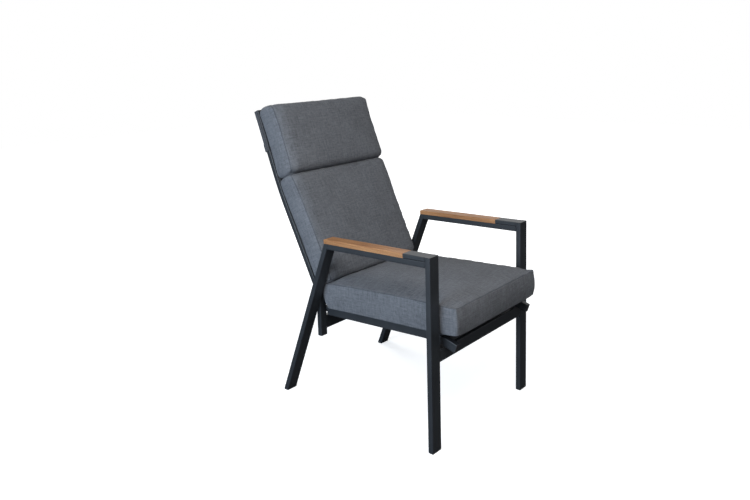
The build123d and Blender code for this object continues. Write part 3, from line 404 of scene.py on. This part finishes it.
def chamber_shape(ends, border, crowns, rounds, spreads):
    """Shape of one chamber of the back cushion. Spreads are shares of BACK_SPREAD at its ends."""
    start, end = ends
    toward_bend = 1 if start < 0 else -1

    def shape(a, b, c):
        level, share = (c + 1) / 2, (b + 1) / 2
        into_bend = max(bend_reach + toward_bend * between(ends, share), 0)
        bottom = CUSHION_LIFT + into_bend ** 2 / (2 * BEND_BACK)
        drop = rounds[0 if b < 0 else 1] * (1 - math.sqrt(max(1 - abs(b) ** END_POWER, 0)))
        high = between((bottom, border - drop), level)
        full = (crowned(a, HALF_WIDTH, BACK_EDGE_ACROSS)
                * crowned(b, (end - start) / 2, BACK_EDGE_ALONG))
        high += between(crowns, share) * full * max(c, 0) ** CROWN_FADE

        wider = between(spreads, share)
        half = HALF_WIDTH + BACK_SPREAD * wider
        half += BACK_SIDE_BULGE * (1 - c * c) - DRAW_IN * (1 - b * b)
        bulge = BACK_END_BULGE * (1 - c * c)
        low, top = start - bulge, end + bulge
        x, s = rounded_corner(a * half, between((low, top), share), half, low, top, BACK_CORNER)
        return x + BACK_SHIFT * wider, s, high
    return shape


def inflate(cushion, seams, share):
    """Swell a cushion's cloth between its seams and leave a share of that in its mesh."""
    sewn = coords(cushion.data)
    group = cushion.vertex_groups.new(name="seam")
    for seam in seams:
        group.add([int(n) for n in seam], 1.0, "REPLACE")
    cloth = cushion.modifiers.new("cloth", "CLOTH")
    settings = cloth.settings
    settings.vertex_group_mass = "seam"
    settings.use_pressure = True
    settings.uniform_pressure_force = SIM_PRESSURE
    settings.effector_weights.gravity = 0
    settings.shrink_min = -0.012        # cloth cut 1.2% larger than its sewn shape
    settings.quality = 6
    settings.mass = 0.3
    settings.bending_stiffness = 1.2
    cloth.collision_settings.use_collision = False
    cloth.point_cache.frame_start, cloth.point_cache.frame_end = 1, SIM_FRAMES
    for number in range(1, SIM_FRAMES + 1):
        scene.frame_set(number)
    graph = bpy.context.evaluated_depsgraph_get()
    moved = coords(cushion.evaluated_get(graph).data) - sewn
    cushion.modifiers.remove(cloth)
    cushion.vertex_groups.clear()
    scene.frame_set(1)
    length = np.linalg.norm(moved, axis=1, keepdims=True)
    moved *= np.minimum(1, SIM_CAP / np.maximum(length, 1e-9))
    set_coords(cushion.data, sewn + moved * share)


def distances(points, others, block=2000):
    """How far each point is from the nearest of the others."""
    nearest = np.empty(len(points))
    for start in range(0, len(points), block):
        some = points[start:start + block]
        gaps = np.linalg.norm(some[:, None, :] - others[None, :, :], axis=2)
        nearest[start:start + block] = gaps.min(axis=1)
    return nearest


def pucker(cushion, seams, seed):
    """Sink the seams, ripple the cloth beside them and mark the seam lines where the shader
    paints shade.
    """
    data = cushion.data
    points = coords(data)
    out = np.array([tuple(vertex.normal) for vertex in data.vertices])
    nearest = distances(points, np.concatenate([points[seam] for seam in seams]))
    shift = np.zeros(len(points))
    for number, point in enumerate(points):
        where = Vector(point) + Vector((seed, 0, 0))
        ripple = noise.noise(where * RIPPLE_SCALE) * math.exp(-nearest[number] / RIPPLE_REACH)
        wave = sum(share * noise.noise(where * scale) for scale, share in WAVES)
        shift[number] = RIPPLE_HIGH * ripple
        shift[number] += WAVE_HIGH * wave * min(nearest[number] / WAVE_REACH, 1)
    for seam in seams:
        shift[seam] -= SEAM_SINK
    set_coords(data, points + out * shift[:, None])
    # Marks the seams' vertices for the painted shade along the seams.
    mark = data.attributes.new("seam_shade", "FLOAT", "POINT")
    mark.data.foreach_set("value", (nearest < 1e-6).astype(float))


def cushion_piece(name, sizes, shape, place, seed, swollen):
    """Cushion with a swollen, puckered skin and the underside that it was sewn with."""
    piece, seams, triples = boxed(name, sizes, shape, place)
    sewn = coords(piece.data)
    inflate(piece, seams, swollen)
    pucker(piece, seams, seed)
    underside = triples[:, 2] < -AT_END
    points = coords(piece.data)
    points[underside] = sewn[underside]
    set_coords(piece.data, points)
    subdivide(piece)
    return piece


# Materials

def node(tree, kind, inputs=None, **settings):
    """Shader node with its settings and inputs. An input is a value or another node's socket."""
    made = tree.nodes.new(kind)
    for key, value in settings.items():
        setattr(made, key, value)
    for key, value in (inputs or {}).items():
        if isinstance(value, bpy.types.NodeSocket):
            tree.links.new(value, made.inputs[key])
        else:
            made.inputs[key].default_value = value
    return made


def shader(name, color, roughness, **values):
    """Material with a principled shader, its node tree and that shader."""
    made = bpy.data.materials.new(name)
    made.use_nodes = True
    tree = made.node_tree
    base = tree.nodes["Principled BSDF"]
    base.inputs["Base Color"].default_value = (*color, 1)
    base.inputs["Roughness"].default_value = roughness
    for key, value in values.items():
        base.inputs[key.replace("_", " ")].default_value = value
    return made, tree, base


def object_vector(tree):
    return node(tree, "ShaderNodeTexCoord").outputs["Object"]


def stretched(tree, vector, scales):
    return node(tree, "ShaderNodeMapping", {"Vector": vector, "Scale": scales}).outputs["Vector"]


def noise_node(tree, vector, scale, detail=2.0, roughness=0.5):
    return node(tree, "ShaderNodeTexNoise", {
        "Vector": vector, "Scale": scale, "Detail": detail, "Roughness": roughness,
    }).outputs["Fac"]


def maths(tree, operation, *values):
    inputs = dict(enumerate(values))
    return node(tree, "ShaderNodeMath", inputs, operation=operation).outputs[0]


def weighted(tree, *pairs):
    """Sum of sockets, each times its weight."""
    total = None
    for socket, weight in pairs:
        part = maths(tree, "MULTIPLY", socket, weight)
        total = part if total is None else maths(tree, "ADD", total, part)
    return total


def ramp(tree, factor, stops):
    made = node(tree, "ShaderNodeValToRGB", {"Fac": factor})
    points = made.color_ramp.elements
    while len(points) < len(stops):
        points.new(0.5)
    for point, (place, color) in zip(points, stops):
        point.position = place
        point.color = (*color, 1)
    return made.outputs["Color"]


def multiplied(tree, first, second, factor):
    """Color times another, by a factor. The factor and the second are values or sockets."""
    made = node(tree, "ShaderNodeMix", {"Factor": factor, "A": first, "B": second},
                data_type="RGBA", blend_type="MULTIPLY")
    return made.outputs["Result"]


def bump(tree, base, height, depth, strength):
    made = node(tree, "ShaderNodeBump", {"Height": height, "Distance": depth,
                                         "Strength": strength})
    tree.links.new(made.outputs["Normal"], base.inputs["Normal"])


def tinted(color, factor):
    return tuple(channel * factor for channel in color)


def clouded(tree, base, cloud, color, tint, stops, roughness, uneven):
    """Make a finish's colour and gloss vary with a cloud of noise."""
    tones = [(stops[0], tinted(color, 1 - tint)), (stops[1], tinted(color, 1 + tint))]
    tree.links.new(ramp(tree, cloud, tones), base.inputs["Base Color"])
    rough = maths(tree, "ADD", maths(tree, "MULTIPLY", cloud, uneven), roughness - uneven / 2)
    tree.links.new(rough, base.inputs["Roughness"])


def powder_coat():
    roughness = 0.42
    made, tree, base = shader("powder_coat", COAT_COLOR, roughness)
    place = object_vector(tree)
    cloud = noise_node(tree, place, 14, 3)
    clouded(tree, base, cloud, COAT_COLOR, 0.1, (0.3, 0.7), roughness, 0.12)
    bump(tree, base, noise_node(tree, place, 1400, 3, 0.6), 0.00012, 0.5)
    return made


def plain(name, color, roughness, grain=900, depth=0.00008, **values):
    """Moulded or turned material with a fine grain and uneven gloss."""
    made, tree, base = shader(name, color, roughness, **values)
    place = object_vector(tree)
    cloud = noise_node(tree, place, 45, 3)
    clouded(tree, base, cloud, color, 0.08, (0.35, 0.65), roughness, 0.14)
    bump(tree, base, noise_node(tree, place, grain, 2), depth, 0.5)
    return made


def teak():
    """Oiled teak whose grain runs along the arm."""
    made, tree, base = shader("teak", (0.36, 0.17, 0.07), 0.5)
    place = object_vector(tree)
    warp = noise_node(tree, stretched(tree, place, (9, 1.6, 9)), 1.0, 3)
    shift = node(tree, "ShaderNodeVectorMath", {0: warp, "Scale": 3.5}, operation="SCALE")
    rings = node(tree, "ShaderNodeVectorMath", {0: stretched(tree, place, (60, 1.5, 60)),
                                                1: shift.outputs[0]}, operation="ADD")
    growth = noise_node(tree, rings.outputs[0], 1.6, 4, 0.55)
    streaks = noise_node(tree, stretched(tree, place, (900, 18, 900)), 1.0, 3, 0.65)
    pores = noise_node(tree, stretched(tree, place, (2200, 90, 2200)), 1.0, 2, 0.5)
    tone = weighted(tree, (growth, 0.72), (streaks, 0.28))
    color = ramp(tree, tone, [(0.30, (0.17, 0.068, 0.024)), (0.44, (0.28, 0.125, 0.045)),
                              (0.55, (0.36, 0.175, 0.070)), (0.70, (0.45, 0.24, 0.105))])
    dark = ramp(tree, pores, [(0.32, (0.45, 0.38, 0.33)), (0.46, (1, 1, 1))])
    tree.links.new(multiplied(tree, color, dark, 0.8), base.inputs["Base Color"])
    rough = maths(tree, "SUBTRACT", 0.62, maths(tree, "MULTIPLY", tone, 0.25))
    tree.links.new(rough, base.inputs["Roughness"])
    height = maths(tree, "ADD", maths(tree, "MULTIPLY", pores, 0.6), streaks)
    bump(tree, base, height, 0.00025, 0.6)
    return made


def woven(name, color, contrast, thread, slub=0.5):
    """Plain-weave cloth in metric cloth coordinates, with mottled yarn."""
    made, tree, base = shader(name, color, 0.9, Sheen_Weight=0.06, Sheen_Roughness=0.5,
                              Specular_IOR_Level=0.25)
    cloth = node(tree, "ShaderNodeUVMap", uv_map="cloth").outputs["UV"]
    parts = node(tree, "ShaderNodeSeparateXYZ", {"Vector": cloth})
    waves = [maths(tree, "SINE", maths(tree, "MULTIPLY", parts.outputs[axis], math.pi / thread))
             for axis in ("X", "Y")]
    weave = maths(tree, "MULTIPLY", *waves)
    across, along = 0.35 / thread, 0.02 / thread
    warp = noise_node(tree, stretched(tree, cloth, (across, along, 1)), 1, 3, 0.6)
    weft = noise_node(tree, stretched(tree, cloth, (along, across, 1)), 1, 3, 0.6)
    mottle = noise_node(tree, cloth, 95, 4, 0.75)
    cloud = noise_node(tree, cloth, 7, 3)
    yarn = weighted(tree, (warp, slub), (weft, slub), (mottle, YARN_MOTTLE), (cloud, YARN_CLOUD),
                    (weave, YARN_WEAVE))
    middle = slub + (YARN_MOTTLE + YARN_CLOUD) / 2
    stops = [((middle - YARN_RANGE) / 2, tinted(color, 1 - contrast)),
             ((middle + YARN_RANGE) / 2, tinted(color, 1 + contrast))]
    dyed = ramp(tree, maths(tree, "MULTIPLY", yarn, 0.5), stops)
    # Painted shade: the cloth's colour is darkened along the marked seams.
    seam_shade = node(tree, "ShaderNodeAttribute", attribute_name="seam_shade").outputs["Fac"]
    tree.links.new(multiplied(tree, dyed, SEAM_SHADE_TINT, seam_shade), base.inputs["Base Color"])
    height = maths(tree, "ADD", maths(tree, "MULTIPLY", weave, 0.5), warp)
    bump(tree, base, maths(tree, "ADD", height, weft), thread * 0.3, 0.7)
    return made


def dress_frame():
    """Give every CAD node the finish of its slot in the record."""
    finishes = {
        "anthracite_powder_coat": powder_coat(),
        "teak": teak(),
        "black_nylon": plain("nylon", (0.02, 0.02, 0.022), 0.5),
        "black_bolts": plain("black_bolts", (0.022, 0.024, 0.027), 0.38),
        "stainless": plain("stainless", (0.56, 0.56, 0.57), 0.3, 1600, 0.00005, Metallic=1.0),
        "rod_steel": plain("rod_chrome", (0.72, 0.72, 0.74), 0.12, 2000, 0.00001, Metallic=1.0),
    }
    for part in frame["record"]["subparts"]:
        finish = finishes.get(part["material_slot"])
        if finish:
            data = frame["nodes"][part["node"]].data
            for number in range(len(data.materials)):
                data.materials[number] = finish


def dressed(piece, material, body, cad_node):
    """Finish a new piece, tie it to its body and hide the CAD node it stands for."""
    piece.data.materials.clear()
    piece.data.materials.append(material)
    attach(piece, body)
    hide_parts(cad_node)


# Soft pieces

def add_cushions(cloth):
    seat = cushion_piece("seat_cushion_cloth",
                         (2 * HALF_WIDTH, SEAT_REAR - SEAT_FRONT_TOP, SEAT_HIGH_MIDDLE),
                         seat_shape, seat_point, 3.0, SEAT_SWOLLEN)
    dressed(seat, cloth, "seat", "seat_cushion")

    def chamber(name, angle, seed, ends, border, crowns, rounds, spreads):
        sizes = (2 * HALF_WIDTH, ends[1] - ends[0], border)
        return cushion_piece(name, sizes, chamber_shape(ends, border, crowns, rounds, spreads),
                             partial(back_point, angle), seed, BACK_SWOLLEN)

    head = chamber("head", LEAN_UPPER, 17.0, HEAD_ENDS, HEAD_BORDER, HEAD_CROWNS, HEAD_ROUNDS,
                   HEAD_SPREADS)
    lower = chamber("lower", LEAN_LOWER, 31.0, LOWER_ENDS, LOWER_BORDER, LOWER_CROWNS,
                    LOWER_ROUNDS, LOWER_SPREADS)
    back = joined("back_cushion_cloth", [head, lower])
    dressed(back, cloth, "back", "back_cushion")


def strip_sheet(name, xs, line):
    """Sling cloth over a line of points, each with its way out and its sag. Adds its length."""
    gaps = [(after[0] - before[0]).length for before, after in zip(line, line[1:])]
    lengths = [0.0, *accumulate(gaps)]
    points, places = [], []
    for x in xs:
        hollow = 1 - (x / xs[-1]) ** 2
        for (point, out, sag), length in zip(line, lengths):
            points.append(point + Vector((x, 0, 0)) - out * sag * hollow)
            places.append((x, length))
    faces = grid_faces(len(xs), len(line))
    return sheet_object(name, points, places, faces, SLING), lengths[-1]


def sag_at(share):
    return SAG * (1 - (2 * share - 1) ** 4)


def back_line():
    """Sling's line over the back rails' front faces, through the gentle bend between the runs."""
    centre = back_bend - lean(LEAN_LOWER) * bend_reach + facing(LEAN_LOWER) * BEND_BACK
    off = BACK_DEEP / 2 + SLING / 2
    line = []
    for number in range(SLING_CELLS + 1):
        share = number / SLING_CELLS
        s = between(BACK_SLING_ENDS, share)
        if abs(s) < bend_reach:
            angle = between((LEAN_LOWER, LEAN_UPPER), (s + bend_reach) / (2 * bend_reach))
            point = centre - facing(angle) * (BEND_BACK - off)
        else:
            angle = LEAN_LOWER if s < 0 else LEAN_UPPER
            point = back_bend + lean(angle) * s + facing(angle) * off
        line.append((point, facing(angle), sag_at(share)))
    return line


def seat_line():
    """Sling's line over the seat rails."""
    line = []
    for number in range(SEAT_SLING_ROWS + 1):
        share = number / SEAT_SLING_ROWS
        line.append((*rail_line(between(SEAT_SLING_ENDS, share), SLING / 2), sag_at(share)))
    return line


def hem_line():
    """Line of the seat sling's front end, down the front of its tube to a hem below it."""
    top, up = rail_line(FRONT_TUBE, SLING / 2)
    ahead = side(-up.z, up.y)
    under = FRONT_TUBE_UNDER + SLING
    front = CROSS_SQUARE / 2 + SLING / 2 + CLEAR
    steps = (
        (0.0, 0.0, up),
        (front - HEM_ROUND, under / 2, up),
        (front - HEM_ROUND * ROUND_MIDDLE, under / 2 + HEM_ROUND * ROUND_MIDDLE,
         (up + ahead).normalized()),
        (front, under / 2 + HEM_ROUND, ahead),
        (front, CROSS_SQUARE / 2, ahead),
        (front, under + CROSS_SQUARE, ahead),
        (front, under + CROSS_SQUARE + HEM_DROP, ahead))
    return [(top + ahead * step - up * drop, out, 0.0) for step, drop, out in steps]


def add_slings(mesh):
    reach = BACK_OUTER - SLING_EDGE
    back, long = strip_sheet("back_sling_mesh", evenly(reach, SLING_CELLS), back_line())
    dressed(back, mesh, "back", "back_sling")

    reach = RAIL_OUTER - SLING_EDGE
    sheet, long = strip_sheet("sheet", evenly(reach, SLING_CELLS), seat_line())
    hem, turned = strip_sheet("hem", evenly(HEM_REACH, HEM_CELLS), hem_line())
    seat = joined("seat_sling_mesh", [sheet, hem])
    dressed(seat, mesh, "seat", "seat_sling")


def hood_outline(inner, rear):
    """Line round the back frame's sides and rear, from lip to lip."""
    front = BACK_DEEP / 2 + HOOD_LAP
    half = [(inward - inner, front - back) for inward, back in HOOD_LIP]
    half += [(-inner, t) for t in HOOD_SIDE]
    turn_in = HOOD_ROUND * ROUND_MIDDLE
    half += [(-inner, HOOD_ROUND - rear), (turn_in - inner, turn_in - rear)]
    across = [(x, -rear) for x in evenly(inner - HOOD_ROUND, HOOD_CELLS)]
    return half + across + [(-x, t) for x, t in reversed(half)]


def add_hood(cloth):
    """Pocket of the back cushion over the top of the back frame.

    Here t is measured from the middle of the rails' depth.
    """
    off = CLEAR + HOOD_CLOTH / 2
    inner, rear = BACK_OUTER + off, BACK_DEEP / 2 + off
    top = BACK_UPPER + CAP_THICK + off
    low = top + HOOD_CLOTH / 2 - HOOD_LENGTH
    out = facing(LEAN_UPPER)

    def point(x, s, t):
        return back_bend + lean(LEAN_UPPER) * s + out * t + Vector((x, 0, 0))

    outline = hood_outline(inner, rear)
    lengths = [0.0, *accumulate(map(math.dist, outline, outline[1:]))]
    points, places = [], []
    for number in range(HOOD_ROWS + 1):
        s = between((low, top), number / HOOD_ROWS)
        hem = HOOD_HEM_OUT if s < low + HOOD_HEM_HIGH else 0.0
        below = min(max((top - HOOD_SINK_START - s) / HOOD_SINK_FULL, 0), 1)
        for (x, t), length in zip(outline, lengths):
            places.append((length, s))
            if abs(t + rear) < 1e-6:
                where = Vector((x * HOOD_WRINKLE_SCALE, s * HOOD_WRINKLE_SCALE, 3.0))
                sink = HOOD_SINK * (1 - (x / inner) ** 4) + HOOD_WRINKLE * noise.noise(where)
                points.append(point(x, s, t - hem + sink * below))
            else:
                points.append(point(x + math.copysign(hem, x), s, t - hem if t < 0 else t))
    faces = grid_faces(HOOD_ROWS + 1, len(outline), flip=True)

    lid = (BACK_DEEP / 2 + HOOD_LID_LAP, *HOOD_LID, -rear)
    faces += grid_faces(len(lid), HOOD_CELLS + 1, flip=True, first=len(points))
    for t in lid:
        for x in evenly(inner, HOOD_CELLS):
            points.append(point(x, top, t))
            places.append((x, t))
    hood = sheet_object("hood_cloth_painted_shade", points, places, faces, HOOD_CLOTH)
    dressed(hood, cloth, "back", "cushion_hood")


# Stage

def add_camera():
    """Camera of the photograph, whose shift places its principal point."""
    yaw, pitch, roll = (math.radians(v) for v in (CAMERA_YAW, CAMERA_PITCH, CAMERA_ROLL))
    back = Vector((math.sin(yaw) * math.cos(pitch), -math.cos(yaw) * math.cos(pitch),
                   math.sin(pitch)))
    right = Vector((math.cos(yaw), math.sin(yaw), 0))
    up = back.cross(right)
    turned_right = right * math.cos(roll) + up * math.sin(roll)
    turned_up = up * math.cos(roll) - right * math.sin(roll)
    data = bpy.data.cameras.new("camera")
    data.sensor_width = SENSOR
    data.lens = SENSOR * FOCAL_PIXELS / IMAGE_WIDE
    data.shift_x = (IMAGE_WIDE / 2 - PRINCIPAL_POINT[0]) / IMAGE_WIDE
    data.shift_y = (PRINCIPAL_POINT[1] - IMAGE_HIGH / 2) / IMAGE_WIDE
    camera = bpy.data.objects.new("camera", data)
    turn = Matrix((turned_right, turned_up, back)).transposed().to_4x4()
    camera.matrix_world = Matrix.Translation(CAMERA_PLACE) @ turn
    scene.collection.objects.link(camera)
    scene.camera = camera


def mixed_shaders(tree, factor, first, second):
    """Second shader where the factor is 1, and the first elsewhere."""
    made = node(tree, "ShaderNodeMixShader", {0: factor, 1: first, 2: second})
    return made.outputs[0]


def add_world():
    """White to the camera, a soft sky as light, and a white screen behind in reflections."""
    world = bpy.data.worlds.new("world")
    scene.world = world
    world.use_nodes = True
    tree = world.node_tree
    tree.nodes.clear()

    def background(color, strength):
        made = node(tree, "ShaderNodeBackground", {"Color": color, "Strength": strength})
        return made.outputs[0]

    path = node(tree, "ShaderNodeLightPath")
    way = node(tree, "ShaderNodeTexCoord").outputs["Generated"]
    toward = node(tree, "ShaderNodeVectorMath", {0: way, 1: BACKDROP_WAY},
                  operation="DOT_PRODUCT")
    screen = node(tree, "ShaderNodeMapRange", {"Value": toward.outputs["Value"], **BACKDROP_EDGE})
    other = mixed_shaders(tree, path.outputs["Is Glossy Ray"],
                          background(SKY_COLOR, SKY_STRENGTH),
                          background(WHITE, screen.outputs[0]))
    all_rays = mixed_shaders(tree, path.outputs["Is Camera Ray"], other, background(WHITE, 1.0))
    node(tree, "ShaderNodeOutputWorld", {"Surface": all_rays})


def add_floor():
    """White floor that keeps the chair's shadow and lights the chair little from below."""
    far = FLOOR_HALF
    floor = mesh_object("floor", [(-far, -far, 0), (far, -far, 0), (far, far, 0), (-far, far, 0)],
                        [[0, 1, 2, 3]])
    made = bpy.data.materials.new("floor")
    made.use_nodes = True
    tree = made.node_tree
    tree.nodes.clear()
    away = node(tree, "ShaderNodeVectorMath", {0: object_vector(tree)}, operation="LENGTH")
    glow = node(tree, "ShaderNodeMapRange", {"Value": away.outputs["Value"], **FLOOR_GLOW})
    light = node(tree, "ShaderNodeEmission", {"Color": WHITE, "Strength": glow.outputs[0]})
    paper = node(tree, "ShaderNodeBsdfDiffuse", {"Color": FLOOR_PAPER})
    seen = node(tree, "ShaderNodeAddShader", {0: paper.outputs[0], 1: light.outputs[0]})
    dull = node(tree, "ShaderNodeBsdfDiffuse", {"Color": FLOOR_DULL})
    path = node(tree, "ShaderNodeLightPath")
    both = mixed_shaders(tree, path.outputs["Is Camera Ray"], dull.outputs[0], seen.outputs[0])
    node(tree, "ShaderNodeOutputMaterial", {"Surface": both})
    floor.data.materials.append(made)


def add_lamp(name, place, aim, size, power, color):
    data = bpy.data.lights.new(name, "AREA")
    data.shape, data.size, data.energy, data.color = "DISK", size, power, color
    lamp = bpy.data.objects.new(name, data)
    direction = Vector(aim) - Vector(place)
    lamp.location = place
    lamp.rotation_euler = direction.to_track_quat("-Z", "Y").to_euler()
    scene.collection.objects.link(lamp)


add_camera()
add_world()
add_floor()
for lamp_values in LAMPS:
    add_lamp(*lamp_values)
dress_frame()
add_cushions(woven("cushion_cloth", CUSHION_COLOR, 0.5, FINE_THREAD))
add_slings(woven("sling_mesh", SLING_COLOR, 0.4, SLING_THREAD, 0.3))
# The hood's cloth is a darker copy of the cushion cloth, painted shade.
add_hood(woven("hood_cloth_painted_shade", HOOD_SHADED_COLOR, 0.3, FINE_THREAD))
scene.view_settings.view_transform = "Standard"
